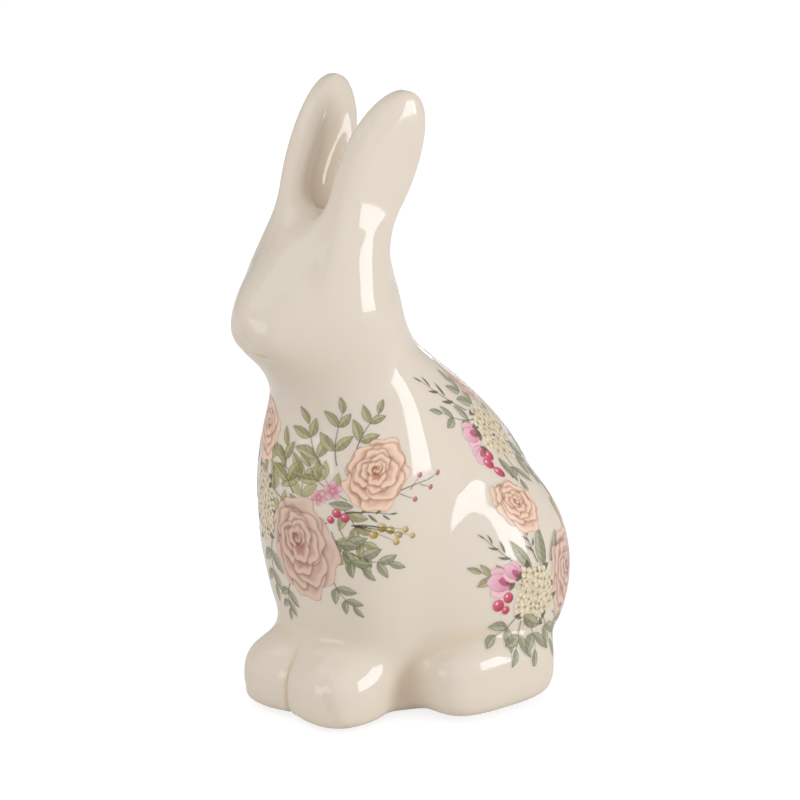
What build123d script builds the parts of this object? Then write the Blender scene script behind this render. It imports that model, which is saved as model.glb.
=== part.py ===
from build123d import *
import os
from math import cos, hypot, pi, radians, sin, sqrt

# A sitting rabbit in glazed ceramic. Millimetres, +Z up, the nose towards -Y,
# the rabbit's left side towards +X, the origin on the resting plane.

# Walls, base and the hole that lets air out of the kiln ware
wall_thickness = 4.5
base_thickness = 5.0
vent_diameter = 9.0
vent_back = 12.0
base_edge_radius = 3.0
crown_cap_height = 1.2

# Felt pads under the paws and the hind feet
pad_diameter = 14.0
pad_thickness = 1.5
front_pad_side = 17.5
front_pad_forward = 54.0
rear_pad_side = 42.0
rear_pad_back = 22.0

# Torso: eight levels from the base to the top of the neck. The lines of the
# chest, the back and the flanks run smoothly past these shares.
torso_height = 210.0
torso_depth = 160.0
torso_width = 98.0
chest_line_shares = (-0.33, -0.37, -0.41, -0.45, -0.465, -0.425, -0.42, -0.46)
back_line_shares = (0.40, 0.49, 0.52, 0.485, 0.38, 0.19, -0.065, -0.20)
flank_line_shares = (0.405, 0.475, 0.50, 0.50, 0.48, 0.405, 0.32, 0.285)
neck_top_height = 222.0
neck_top_blend = 60.0

# Head, leaning forward into the muzzle
head_half_width = 29.8
head_half_length = 31.0
head_half_height = 33.0
head_forward = 48.0
head_height = 203.5
head_tilt = -33.0
head_blend = 34.0
muzzle_half_width = 19.5
muzzle_half_length = 22.0
muzzle_half_height = 18.0
muzzle_forward = 75.0
muzzle_height = 193.5
muzzle_blend = 18.0

# Shoulders with the forelegs below them, and the haunches
shoulder_half_width = 19.7
shoulder_half_length = 24.2
shoulder_half_height = 58.0
shoulder_side = 23.6
shoulder_forward = 33.5
shoulder_height = 95.0
shoulder_blend = 22.0
haunch_half_width = 27.2
haunch_half_length = 43.5
haunch_half_height = 49.5
haunch_side = 36.5
haunch_back = 25.5
haunch_height = 58.5
haunch_blend = 18.0

# Front paws and hind feet, squarer than the limbs above them
paw_half_width = 20.8
paw_half_length = 21.0
paw_half_height = 21.0
paw_side = 17.5
paw_forward = 54.5
paw_height = 12.5
foot_half_width = 21.3
foot_half_length = 36.5
foot_half_height = 22.5
foot_side = 46.0
foot_back = 11.0
foot_height = 19.0
foot_blend = 14.0
foot_squareness = 2.5

# Tail
tail_half_width = 20.0
tail_half_length = 14.0
tail_half_height = 19.0
tail_back = 76.0
tail_height = 24.0
tail_blend = 14.0

# Ears: flat ovals that lean back, scooped on the side that faces the other ear
ear_root_side = 16.4
ear_root_forward = 46.0
ear_root_height = 234.0
ear_tip_side = 21.4
ear_tip_forward = 16.0
ear_tip_height = 297.5
ear_half_width = 21.0
ear_half_thickness = 10.5
ear_turn = -7.0
ear_widest_share = 0.43
ear_root_taper_share = 0.64
ear_seat_share = -0.12
ear_cap_share = 0.985
ear_scoop_share = 0.62
ear_flare_share = 0.30
ear_flare_reach_share = 0.22

# How finely the smooth forms are sampled
body_levels = 38
body_sides = 56
base_edge_steps = 3
cavity_levels = 14
cavity_sides = 24
ear_levels = 20
ear_sides = 28
turn_ease_share = 0.12
halvings = 28
level_ease_share = 0.35
least_share = 0.000001
furthest = torso_depth


def along(shares, size, height):
    """A smooth line past evenly spaced shares of a size: a uniform cubic B-spline."""
    values = [size * share for share in shares]
    values.insert(0, 2 * values[0] - values[1])
    values.append(2 * values[-1] - values[-2])
    spans = len(shares) - 1
    place = min(max(height / torso_height * spans, 0), spans - least_share)
    first = int(place)
    t = place - first
    weights = ((1 - t) ** 3, 3 * t**3 - 6 * t**2 + 4, 3 * t + 3 * t**2 - 3 * t**3 + 1, t**3)
    return sum(weight * value for weight, value in zip(weights, values[first:])) / 6


def joined(one, other, blend):
    """Two forms run together, with a fillet about as wide as the blend."""
    overlap = max(blend - abs(one - other), 0)
    return min(one, other) - overlap * overlap / (4 * blend)


def common(one, other, blend):
    """What two forms share, with its edge rounded by the blend."""
    return -joined(-one, -other, blend)


def lobe(point, centre, half_sizes, tilt=0.0, squareness=2.0):
    """Depth below (negative) or height above a rounded lobe that tilts about X."""
    side, ahead, up = (value - middle for value, middle in zip(point, centre))
    turn = radians(tilt)
    ahead, up = cos(turn) * ahead + sin(turn) * up, cos(turn) * up - sin(turn) * ahead
    ratios = [abs(v) / half + least_share for v, half in zip((side, ahead, up), half_sizes)]
    size = sum(ratio**squareness for ratio in ratios) ** (1 / squareness)
    steep = sqrt(sum((ratio ** (squareness - 1) / half) ** 2 for ratio, half in zip(ratios, half_sizes)))
    return (size - 1) / (steep * size ** (1 - squareness))


def torso(point):
    """The trunk from the base to the neck: an oval at each height."""
    side, ahead, up = point
    front = along(chest_line_shares, torso_depth, up)
    back = along(back_line_shares, torso_depth, up)
    half_width = along(flank_line_shares, torso_width, up)
    half_depth = (back - front) / 2
    across = side / half_width
    deep = (ahead - (front + back) / 2) / half_depth
    size = hypot(across, deep) + least_share
    return size * (size - 1) / hypot(across / half_width, deep / half_depth + least_share / half_depth)


def body_form(point):
    """The whole cast body without its ears, as one smooth form."""
    side, ahead, up = abs(point[0]), point[1], point[2] - pad_thickness
    spot = (side, ahead, up)
    form = common(torso(spot), up - neck_top_height, neck_top_blend)
    shoulder = lobe(
        spot,
        (shoulder_side, -shoulder_forward, shoulder_height),
        (shoulder_half_width, shoulder_half_length, shoulder_half_height),
    )
    form = joined(form, shoulder, shoulder_blend)
    head = lobe(
        spot,
        (0, -head_forward, head_height),
        (head_half_width, head_half_length, head_half_height),
        head_tilt,
    )
    muzzle = lobe(
        spot,
        (0, -muzzle_forward, muzzle_height),
        (muzzle_half_width, muzzle_half_length, muzzle_half_height),
    )
    form = joined(form, joined(head, muzzle, muzzle_blend), head_blend)
    haunch = lobe(
        spot,
        (haunch_side, haunch_back, haunch_height),
        (haunch_half_width, haunch_half_length, haunch_half_height),
    )
    form = joined(form, haunch, haunch_blend)
    foot = lobe(
        spot,
        (foot_side, foot_back, foot_height),
        (foot_half_width, foot_half_length, foot_half_height),
        squareness=foot_squareness,
    )
    form = joined(form, foot, foot_blend)
    paw_half_sizes = (paw_half_width, paw_half_length, paw_half_height)
    near_paw = lobe(spot, (paw_side, -paw_forward, paw_height), paw_half_sizes, squareness=foot_squareness)
    far_paw = lobe(spot, (-paw_side, -paw_forward, paw_height), paw_half_sizes, squareness=foot_squareness)
    form = joined(form, joined(near_paw, far_paw, foot_blend), foot_blend)
    tail = lobe(
        spot,
        (0, tail_back, tail_height),
        (tail_half_width, tail_half_length, tail_half_height),
    )
    return joined(form, tail, tail_blend)


def reach(form, start, heading, level=0.0):
    """How far from start, along a heading, the form's surface at a level lies."""
    near, far = 0.0, furthest
    for _ in range(halvings):
        middle = (near + far) / 2
        spot = [value + middle * step for value, step in zip(start, heading)]
        if form(spot) < level:
            near = middle
        else:
            far = middle
    return near


def crown_top(ahead):
    """Height of the crown of the head over one point of the middle line."""
    head_middle = head_height + pad_thickness
    return head_middle + reach(body_form, (0, ahead, head_middle), (0, 0, 1))


# The highest point of the crown, found by closing in from both sides
crown_front = -head_forward - head_half_length / 2
crown_back = -head_forward + head_half_length / 2
for _ in range(halvings):
    third = (crown_back - crown_front) / 3
    if crown_top(crown_front + third) < crown_top(crown_back - third):
        crown_front += third
    else:
        crown_back -= third
crown_ahead = (crown_front + crown_back) / 2
crown_height = crown_top(crown_ahead)


def spine(height):
    """Where the middle of a level lies, from the trunk's middle up to the crown."""
    up = height - pad_thickness
    front = along(chest_line_shares, torso_depth, up)
    back = along(back_line_shares, torso_depth, up)
    share = max(up - torso_height / 2, 0) / (crown_height - pad_thickness - torso_height / 2)
    return (1 - share) * (front + back) / 2 + share * crown_ahead


def skin_corners(height, depth, sides):
    """Corners round the body at a height, set in by a depth, and closer together fore and aft."""
    corners = []
    for step in range(sides):
        turn = 2 * pi * step / sides
        turn -= turn_ease_share * sin(2 * turn)
        far = reach(body_form, (0, spine(height), height), (sin(turn), -cos(turn), 0), -depth)
        corners.append(Vector(far * sin(turn), spine(height) - far * cos(turn), height))
    return corners


def eased(low, high, count):
    """Values from low up to high, a little closer together towards both ends."""
    shares = [step / count for step in range(count + 1)]
    return [low + (high - low) * (u - level_ease_share * sin(2 * pi * u) / (2 * pi)) for u in shares]


def banded(rings, low_end, high_end):
    """A solid skinned from ring to ring in flat triangles that mirror, with a fan at each end."""
    flats = []
    for lower, upper in zip(rings, rings[1:]):
        for step in range(len(lower)):
            here, there = (step - 1, step) if 0 < step <= len(lower) // 2 else (step, step - 1)
            flats.append((lower[here], lower[there], upper[there]))
            flats.append((lower[here], upper[there], upper[here]))
    for ring, end in ((rings[0], low_end), (rings[-1], high_end)):
        flats.extend((ring[step - 1], ring[step], end) for step in range(len(ring)))
    return Solid(Shell([Face(Wire.make_polygon(flat)) for flat in flats]))


# The outer form of the body: rings round the soft edge of the base, then up to the crown
rings = []
for step in range(base_edge_steps):
    turn = pi / 2 * step / base_edge_steps
    height = pad_thickness + base_edge_radius * (1 - cos(turn))
    rings.append(skin_corners(height, base_edge_radius * (1 - sin(turn)), body_sides))
for height in eased(pad_thickness + base_edge_radius, crown_height - crown_cap_height, body_levels):
    rings.append(skin_corners(height, 0, body_sides))
base_middle = Vector(0, spine(pad_thickness), pad_thickness)
body_skin = banded(rings, base_middle, Vector(0, crown_ahead, crown_height))
nose_end = min(ring[0].Y for ring in rings)
tail_end = max(ring[body_sides // 2].Y for ring in rings)

# The space that the slip leaves inside when the mould is drained, an even wall away
rings = []
for height in eased(pad_thickness + base_thickness, crown_height - 2 * wall_thickness, cavity_levels):
    rings.append(skin_corners(height, wall_thickness, cavity_sides))
ends = [Vector(0, spine(ring[0].Z), ring[0].Z) for ring in (rings[0], rings[-1])]
cavity = banded(rings, *ends)

with BuildPart() as body_casting:
    add(body_skin, clean=False)
    add(cavity, mode=Mode.SUBTRACT, clean=False)
    with Locations((0, vent_back, pad_thickness + base_thickness / 2)):
        Cylinder(vent_diameter / 2, 2 * base_thickness, mode=Mode.SUBTRACT)


# The frame of the left ear: up along it, across its thickness, and along its width
ear_root = Vector(ear_root_side, -ear_root_forward, ear_root_height + pad_thickness)
ear_tip = Vector(ear_tip_side, -ear_tip_forward, ear_tip_height + pad_thickness)
ear_length = (ear_tip - ear_root).length
ear_up = (ear_tip - ear_root).normalized()
ear_outward = Vector(cos(radians(ear_turn)), sin(radians(ear_turn)), 0)
ear_outward = (ear_outward - ear_up * ear_outward.dot(ear_up)).normalized()
ear_across = ear_up.cross(ear_outward)


def ear_fullness(share):
    """The ear's width at a share of its length: it tapers both ways and flares at the head."""
    taper_share = 1 - ear_widest_share if share > ear_widest_share else ear_root_taper_share
    fullness = sqrt(1 - ((share - ear_widest_share) / taper_share) ** 2)
    flare = max(ear_flare_reach_share - share, 0) / ear_flare_reach_share
    return fullness * (1 + ear_flare_share * flare**2)


def ear_ring(share):
    """Corners round the ear: an oval, drawn in on the side that faces the other ear."""
    corners = []
    for step in range(ear_sides):
        turn = 2 * pi * step / ear_sides
        thick = ear_half_thickness * cos(turn)
        if thick < 0:
            thick *= 1 - ear_scoop_share * cos(turn) ** 2
        offset = ear_outward * thick + ear_across * (ear_half_width * sin(turn))
        corners.append(ear_root + ear_up * (ear_length * share) + offset * ear_fullness(share))
    return corners


ear_rings = [ear_ring(share) for share in eased(ear_seat_share, ear_cap_share, ear_levels)]
ear_seat = ear_root + ear_up * (ear_length * ear_seat_share)
with BuildPart() as ear_left:
    add(banded(ear_rings, ear_seat, ear_tip), clean=False)
    add(body_skin, mode=Mode.SUBTRACT, clean=False)


with BuildPart() as ear_right:
    mirror(ear_left.part, about=Plane.YZ)


def felt_pad(side, ahead):
    """A round felt pad from the resting plane up to the base."""
    with BuildPart() as pad:
        with BuildSketch():
            with Locations((side, ahead)):
                Circle(pad_diameter / 2)
        extrude(amount=pad_thickness)
    return pad.part


pieces = {
    "body_casting": body_casting.part,
    "ear_left": ear_left.part,
    "ear_right": ear_right.part,
    "pad_front_left": felt_pad(front_pad_side, -front_pad_forward),
    "pad_front_right": felt_pad(-front_pad_side, -front_pad_forward),
    "pad_rear_left": felt_pad(rear_pad_side, rear_pad_back),
    "pad_rear_right": felt_pad(-rear_pad_side, rear_pad_back),
}

# The nose and the tail end at equal distances before and behind the origin
centring = Location((0, -(nose_end + tail_end) / 2, 0))

os.makedirs("parts", exist_ok=True)
for name, piece in pieces.items():
    placed = piece.moved(centring)
    placed.label = name
    export_step(placed, f"parts/{name}.step")
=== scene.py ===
# %% [markdown]
# # A sitting rabbit in glazed ceramic with printed flowers
# The real figurine is slip-cast: liquid clay is poured into a plaster mould, the
# skin that stiffens against the plaster is kept, and the rest is drained through
# a hole in the base. The ears are cast apart and luted on with slip, so they run
# into the head in a soft fillet. Cream glaze covers everything but the resting
# face, flower transfers are fired onto it, and four felt pads go underneath.
#
# Each of those steps is one part of this lesson: the form, the ears, the base,
# the glaze, the transfers, the felt, and last the studio that shows them.

import bpy
import numpy as np
from mathutils import Matrix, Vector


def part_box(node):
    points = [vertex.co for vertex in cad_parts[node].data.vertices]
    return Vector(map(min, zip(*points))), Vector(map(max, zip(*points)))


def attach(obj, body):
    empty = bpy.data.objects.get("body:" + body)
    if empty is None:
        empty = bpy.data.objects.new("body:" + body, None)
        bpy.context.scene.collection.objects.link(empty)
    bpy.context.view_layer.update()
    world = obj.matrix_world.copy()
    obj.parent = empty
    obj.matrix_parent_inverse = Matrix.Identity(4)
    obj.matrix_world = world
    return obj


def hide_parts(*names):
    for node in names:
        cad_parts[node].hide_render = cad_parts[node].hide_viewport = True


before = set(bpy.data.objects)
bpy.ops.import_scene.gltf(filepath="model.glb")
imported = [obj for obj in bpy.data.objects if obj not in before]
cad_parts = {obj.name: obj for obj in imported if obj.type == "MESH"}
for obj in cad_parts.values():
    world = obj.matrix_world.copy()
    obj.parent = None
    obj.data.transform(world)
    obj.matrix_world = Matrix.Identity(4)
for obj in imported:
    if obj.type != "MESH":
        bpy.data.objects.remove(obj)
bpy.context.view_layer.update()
mm = 0.001
pad_low, pad_high = (np.array(corner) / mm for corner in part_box("pad_front_left"))

# %% [markdown]
# ## One form, many soft joins
# A modeller in clay builds such an animal from a trunk, a head and a few rounded
# lobes, and smooths every join with a wet finger. Sculpting by hand in Blender
# could do the same, but nobody could read how it was done. Here the form is a
# formula: each lobe says how deep a point lies, below zero inside its skin and
# above zero outside, and joining two of them with a smooth minimum is the wet
# finger. All sizes are in millimetres, with the nose towards -Y and the base at
# height zero.

# %% Lines along the trunk
torso_height, torso_depth, torso_width = 210.0, 160.0, 98.0
chest_line_shares = (-0.33, -0.37, -0.41, -0.45, -0.465, -0.425, -0.42, -0.46)
back_line_shares = (0.40, 0.49, 0.52, 0.485, 0.38, 0.19, -0.065, -0.20)
flank_line_shares = (0.405, 0.475, 0.50, 0.50, 0.48, 0.405, 0.32, 0.285)
tiny = 1e-6


def along(shares, size, height):
    """A smooth line past evenly spaced shares of a size: a uniform cubic B-spline."""
    values = size * np.array(shares)
    values = np.concatenate([[2 * values[0] - values[1]], values, [2 * values[-1] - values[-2]]])
    spans = len(shares) - 1
    place = np.clip(height / torso_height * spans, 0, spans - tiny)
    first = np.floor(place).astype(int)
    t = place - first
    weights = ((1 - t) ** 3, 3 * t**3 - 6 * t**2 + 4, 3 * t + 3 * t**2 - 3 * t**3 + 1, t**3)
    return sum(weight * values[first + k] for k, weight in enumerate(weights)) / 6


sample_heights = np.array([0, 0.5, 1]) * torso_height
for shares, size in ((chest_line_shares, torso_depth), (flank_line_shares, torso_width)):
    print("chest, then flank, at three heights in mm:", along(shares, size, sample_heights).round(1).tolist())

# %% How two forms are joined
def joined(one, other, blend):
    """The smaller of two depths, less a bit near equality: overlap squared over four blends."""
    overlap = np.maximum(blend - np.abs(one - other), 0)
    return np.minimum(one, other) - overlap * overlap / (4 * blend)


def common(one, other, blend):
    """The larger of two depths, rounded in the same way, for what two forms share."""
    return -joined(-one, -other, blend)


sample_blend = 10.0
print("where two skins meet, a blend of", sample_blend, "mm adds", -joined(0, 0, sample_blend), "mm")

# %% Rounded lobes and the trunk
def cosine_and_sine(degrees):
    """Both at once, for an angle in degrees."""
    return np.cos(np.radians(degrees)), np.sin(np.radians(degrees))


def lobe(p, centre, half_sizes, tilt=0.0, squareness=2.0):
    """Depth in a superellipsoid: its size function less one, over the length of its slope."""
    q = p - np.array(centre)
    c, s = cosine_and_sine(tilt)
    q = np.stack([q[..., 0], c * q[..., 1] + s * q[..., 2], c * q[..., 2] - s * q[..., 1]], -1)
    half = np.array(half_sizes)
    ratios = np.abs(q) / half + tiny
    size = (ratios**squareness).sum(-1) ** (1 / squareness)
    steep = np.sqrt(((ratios ** (squareness - 1) / half) ** 2).sum(-1))
    return (size - 1) / (steep * size ** (1 - squareness))


def torso(p):
    """Depth in the trunk, an oval at each height between the chest and back lines."""
    front = along(chest_line_shares, torso_depth, p[..., 2])
    back = along(back_line_shares, torso_depth, p[..., 2])
    half_width = along(flank_line_shares, torso_width, p[..., 2])
    half_depth = (back - front) / 2
    across = p[..., 0] / half_width
    deep = (p[..., 1] - (front + back) / 2) / half_depth
    size = np.hypot(across, deep) + tiny
    return size * (size - 1) / np.hypot(across / half_width, deep / half_depth + tiny)


print("depth in the middle of the trunk in mm:", torso(np.array([0, 0, torso_height / 2])).round(1))

# %% Where the lobes lie, and how widely each is blended in
foot_squareness, paw_squareness = 3.1, 2.5
neck_top, neck_blend = 222.0, 60.0
shoulder = dict(centre=(23.6, -33.5, 95.0), half_sizes=(19.7, 24.2, 58.0))
head = dict(centre=(0, -48.0, 203.5), half_sizes=(29.8, 31.0, 33.0), tilt=-33.0)
muzzle = dict(centre=(0, -75.0, 193.5), half_sizes=(19.5, 22.0, 18.0))
haunch = dict(centre=(36.5, 25.5, 58.5), half_sizes=(27.2, 43.5, 49.5))
foot = dict(centre=(46.0, 11.0, 17.0), half_sizes=(21.3, 36.5, 20.0), squareness=foot_squareness)
paw = dict(half_sizes=(20.8, 21.0, 21.0), squareness=paw_squareness)
paw_side, paw_forward, paw_height = 17.5, 54.5, 12.5
tail = dict(centre=(0, 76.0, 24.0), half_sizes=(20.0, 14.0, 19.0))
shoulder_blend, head_blend, muzzle_blend = 22.0, 34.0, 18.0
haunch_blend, foot_blend, paw_blend, tail_blend = 18.0, 8.0, 14.0, 14.0
paws_blend, base_blend = 15.0, 6.0
print("lobes on each side and on the middle:", len((shoulder, haunch, foot, paw)), len((head, muzzle, tail)))

# %% [markdown]
# ## Small touches with the modelling tool
# Before the mould is made, the modeller presses the mouth, the toes and the line
# between the paws into the clay, and adds a dab for the nose, each cheek and the
# foot of each ear. In Blender these could be sculpted or painted as bump, but
# bump wouldn't catch the light along an edge, and sculpting hides its sizes. So
# each touch is a Gaussian of its place, added to the depth: above zero it takes
# clay away, and below zero it adds some.

# %% The touches: centre, reach and depth, and where a stroke fades out
face_touches = (
    ((0.0, -98.0, 189.5), (4.5, 6.0, 6.0), 1.3),
    ((12.5, -90.0, 188.0), (7.0, 8.0, 7.5), -1.1),
    ((0.0, -98.0, 200.5), (6.0, 7.0, 5.5), -0.6),
    ((8.5, -92.0, 196.5), (2.6, 4.0, 2.2), 0.45),
    ((24.0, -44.0, 232.0), (8.0, 14.0, 9.0), -1.6),
)
mouth = dict(height=181.5, side=6.0, reach=4.0, curve=0.006, width=1.1, depth=0.8, front=(-80.0, 2.0))
toe_crease = dict(side=25.0, height=26.0, slope=0.34, width=2.0, depth=0.7)
toe_limits = dict(front=(-66.0, 1.5), top=(30.0, 2.0))
paw_groove = dict(width=1.7, depth=1.3, front=(-60.0, 2.0), top=(28.0, 3.0))


def below(value, limit, softness):
    """One well below a limit and zero well above it, with a logistic step between."""
    return 1 / (1 + np.exp((value - limit) / softness))


def touches(q):
    """What the tool takes away or adds on one half: Gaussian dabs, and strokes Gaussian across."""
    x, y, z = q[..., 0], q[..., 1], q[..., 2]
    change = 0
    for centre, reach, depth in face_touches:
        change = change + depth * np.exp(-(((q - np.array(centre)) / np.array(reach)) ** 2).sum(-1))
    lips = np.exp(-(((z - mouth["height"] + mouth["curve"] * x * x) / mouth["width"]) ** 2))
    lips = lips * np.exp(-(((x - mouth["side"]) / mouth["reach"]) ** 4)) * below(y, *mouth["front"])
    crease = x - toe_crease["side"] - toe_crease["slope"] * (toe_crease["height"] - z)
    crease = np.exp(-((crease / toe_crease["width"]) ** 2))
    crease = crease * below(y, *toe_limits["front"]) * below(z, *toe_limits["top"])
    groove = np.exp(-((x / paw_groove["width"]) ** 2))
    groove = groove * below(y, *paw_groove["front"]) * below(z, *paw_groove["top"])
    return change + mouth["depth"] * lips + toe_crease["depth"] * crease + paw_groove["depth"] * groove


# %% The casting without its ears
def body(p):
    """Depth in the casting without its ears: trunk, limbs, head and tail joined in turn."""
    q = p.copy()
    q[..., 0] = np.abs(q[..., 0])
    form = common(torso(q), q[..., 2] - neck_top, neck_blend)
    form = joined(form, lobe(q, **shoulder), shoulder_blend)
    form = joined(form, joined(lobe(q, **head), lobe(q, **muzzle), muzzle_blend), head_blend)
    form = joined(form, lobe(q, **haunch), haunch_blend)
    form = joined(form, lobe(q, **foot), foot_blend)
    near_paw = lobe(q, (paw_side, -paw_forward, paw_height), **paw)
    far_paw = lobe(q, (-paw_side, -paw_forward, paw_height), **paw)
    form = joined(form, joined(near_paw, far_paw, paws_blend), paw_blend)
    return joined(form, lobe(q, **tail), tail_blend) + touches(q)


print("depth at the middle of the head in mm:", body(np.array(head["centre"], float)).round(1))

# %% [markdown]
# ## The ears
# Each ear is a flat oval, longer below its widest place than above, and scooped
# on the side that faces the other ear as if pressed with a thumb. It could be a
# flattened sphere with a Boolean cut, but a depth keeps the rim of the scoop soft
# and lets the root flow into the head.

# %% The ear's own axes: up from root to tip, out to the side, and across
ear_root = np.array([16.4, -46.0, 234.0])
ear_tip = np.array([21.4, -16.0, 297.5])
ear_half_width, ear_half_thickness, ear_turn = 19.4, 9.0, -7.0
ear_widest_share, ear_root_taper_share = 0.44, 0.63
ear_length = np.linalg.norm(ear_tip - ear_root)
ear_up = (ear_tip - ear_root) / ear_length
ear_out = np.array([*cosine_and_sine(ear_turn), 0])
ear_out -= ear_up * (ear_out @ ear_up)
ear_out /= np.linalg.norm(ear_out)
ear_across = np.cross(ear_up, ear_out)
ear_middle = ear_root + ear_up * ear_length * ear_widest_share
print("ear length in mm:", ear_length.round(1))

# %% The ear's depth: a blade with a flatter outer face, less the thumb's hollow
ear_outer_power, ear_inner_power, root_swell = 3.6, 2.0, 0.06
ear_curl, ear_curl_end_share = 2.6, 1.2
scoop_offset, scoop_drop, scoop_half_depth, scoop_blend = 11.5, 5.0, 9.5, 7.0
scoop_width_share, scoop_length_share = 0.58, 0.47


def blade(q, half_thickness, half_width, half_length):
    """Depth in a flattened oval: each face has its own power, and the outer one swells below."""
    power = np.where(q[..., 0] > 0, ear_outer_power, ear_inner_power)
    plane = np.hypot(q[..., 1] / half_width, q[..., 2] / half_length) + tiny
    swell = 1 + root_swell * np.clip(-q[..., 2] / half_length, 0, 1) ** 2 * (q[..., 0] > 0)
    thick = np.abs(q[..., 0]) / (half_thickness * swell) + tiny
    size = (plane**power + thick**power) ** (1 / power)
    plane_steep = np.hypot(q[..., 1] / half_width**2, q[..., 2] / half_length**2) / plane
    steep = np.hypot(thick ** (power - 1) / half_thickness, plane ** (power - 1) * plane_steep)
    return (size - 1) / (steep * size ** (1 - power) + tiny)


def ear(p):
    """Depth in the left ear: two half ovals, curled out by a square, less the thumb's oval."""
    q = p - ear_middle
    q = np.stack([q @ ear_out, q @ ear_across, q @ ear_up], -1)
    upper, lower = ear_length * (1 - ear_widest_share), ear_length * ear_root_taper_share
    q[..., 0] -= ear_curl * np.clip(q[..., 2] / upper, 0, ear_curl_end_share) ** 2
    form = np.where(
        q[..., 2] > 0,
        blade(q, ear_half_thickness, ear_half_width, upper),
        blade(q, ear_half_thickness, ear_half_width, lower),
    )
    half = (scoop_half_depth, ear_half_width * scoop_width_share, ear_length * scoop_length_share)
    return common(form, -lobe(q, (-scoop_offset, 0, -scoop_drop), half), scoop_blend)


print("depth at the ear's core in mm:", ear(ear_middle + ear_out * ear_half_thickness / 2).round(1))

# %% [markdown]
# ## Luting the ears on, and the base
# Luted ears show no seam: wet slip fills the join, and one skin runs over it. Two
# meshes pushed into each other would show a line. So one filleted form is shared,
# and each piece follows it as long as it is visible and thins away inside the
# other. The base is the same kind of join: the form and the half space above the
# table have their edge rounded, as a sponge rounds the foot of a wet casting.

# %% The whole form, and where the casting and its ears take over from each other
ear_fillet, ears_blend = 19.0, 10.0
seam_height, seam_closing = 6.5, 20.0


def whole(p):
    """Depth in the body with both ears filleted to it, and the depth in the body alone."""
    body_depth = body(p)
    ears = joined(ear(p), ear(p * (-1, 1, 1)), ears_blend)
    return joined(body_depth, ears, ear_fillet), body_depth


def casting(p):
    """The whole form, but above the seam it thins away inside the ears."""
    form, body_depth = whole(p)
    return form + np.maximum(body_depth - seam_height, 0) ** 2 / seam_closing


def rooted_ear(p):
    """The left ear and its fillet, but below the seam it thins away inside the casting."""
    body_depth = body(p)
    form = joined(body_depth, ear(p), ear_fillet)
    return form + np.maximum(seam_height - body_depth, 0) ** 2 / seam_closing


def grounded(p):
    """The casting cut by the plane of its base, with a softly rounded edge."""
    return common(casting(p), -p[..., 2], base_blend)


brow = np.array([0, head["centre"][1], neck_top])
print("the ears and their fillet add", (body(brow) - whole(brow)[0]).round(2), "mm at the brow")

# %% [markdown]
# ## Wrapping a skin round a form
# A depth is no mesh yet. The usual way to get one is marching cubes, whose
# triangles run every way. A sculptor's wire armature suggests a calmer grid: a
# path runs up the trunk, bends over in the neck and ends at the nose, and from
# each point of it a ring of rays goes out until it meets the skin. The two
# parameters are the place along the path and the turn round it.

# %% Rays out to the skin, by halving
halvings = 22


def met(depth, starts, headings, far):
    """Points where rays leave a form: start plus r times the heading, with r found by halving."""
    low = np.zeros(headings.shape[:-1])
    high = np.full(low.shape, far)
    for _ in range(halvings):
        r = (low + high) / 2
        inside = depth(starts + headings * r[..., None]) < 0
        low, high = np.where(inside, r, low), np.where(inside, high, r)
    return starts + headings * low[..., None]


def wrapped(depth, middles, fronts, sides, ups, lifts, turns, far):
    """Rings of such points: each row has a middle and three axes, a lift and its turns."""
    ring = fronts[:, None] * np.cos(turns)[..., None] + sides[:, None] * np.sin(turns)[..., None]
    heading = ring * np.cos(lifts)[:, None, None] + (ups * np.sin(lifts)[:, None])[:, None]
    return met(depth, middles[:, None], heading, far)


# %% Where the form stands in the frame: on the pads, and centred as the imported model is
front_pad_forward = 54.0
form_place = np.array([0, (pad_low[1] + pad_high[1]) / 2 + front_pad_forward, pad_high[2]])
print("the form is moved by", form_place.round(2).tolist())

# %% A mesh from rings of points
def new_piece(name, points, faces):
    """A smooth-shaded object from points in the form's millimetres, moved to the frame's metres."""
    mesh = bpy.data.meshes.new(name)
    mesh.from_pydata(((points + form_place) * mm).tolist(), [], faces)
    mesh.shade_smooth()
    piece = bpy.data.objects.new(name, mesh)
    bpy.context.collection.objects.link(piece)
    print(name, "vertices", len(mesh.vertices), "faces", len(mesh.polygons))
    return piece


def closed_mesh(name, rings, first_pole, last_pole):
    """A mesh from rings of points with a pole at each end, its faces turned outwards."""
    rows, columns = rings.shape[:2]
    points = np.concatenate([[first_pole], rings.reshape(-1, 3), [last_pole]])
    row, column = np.meshgrid(np.arange(rows - 1), np.arange(columns), indexing="ij")
    here, beside = 1 + row * columns + column, 1 + row * columns + (column + 1) % columns
    quads = np.stack([here, beside, beside + columns, here + columns], -1).reshape(-1, 4)
    step = np.arange(columns)
    after = (step + 1) % columns
    first_fan = np.stack([np.zeros_like(step), 1 + after, 1 + step], -1)
    last_row = 1 + (rows - 1) * columns
    last_fan = np.stack([np.full_like(step, len(points) - 1), last_row + step, last_row + after], -1)
    corners = points[quads]
    volume = np.einsum("ij,ij->i", corners[:, 0], np.cross(corners[:, 1], corners[:, 2])).sum()
    faces = quads.tolist() + first_fan.tolist() + last_fan.tolist()
    if volume < 0:
        faces = [face[::-1] for face in faces]
    return new_piece(name, points, faces)


# %% [markdown]
# ## The skin of the casting
# The path starts above the drain hole in the base, goes up the trunk in level
# rings, and leans over about a point in front of the throat, so that the rings
# open round the crown and close up under the chin, as the wrinkles of a bent
# sleeve do. A fan at each end closes the skin: one over the nose, and one under
# the base, which stops at the rim of the drain hole and turns up into it.

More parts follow.
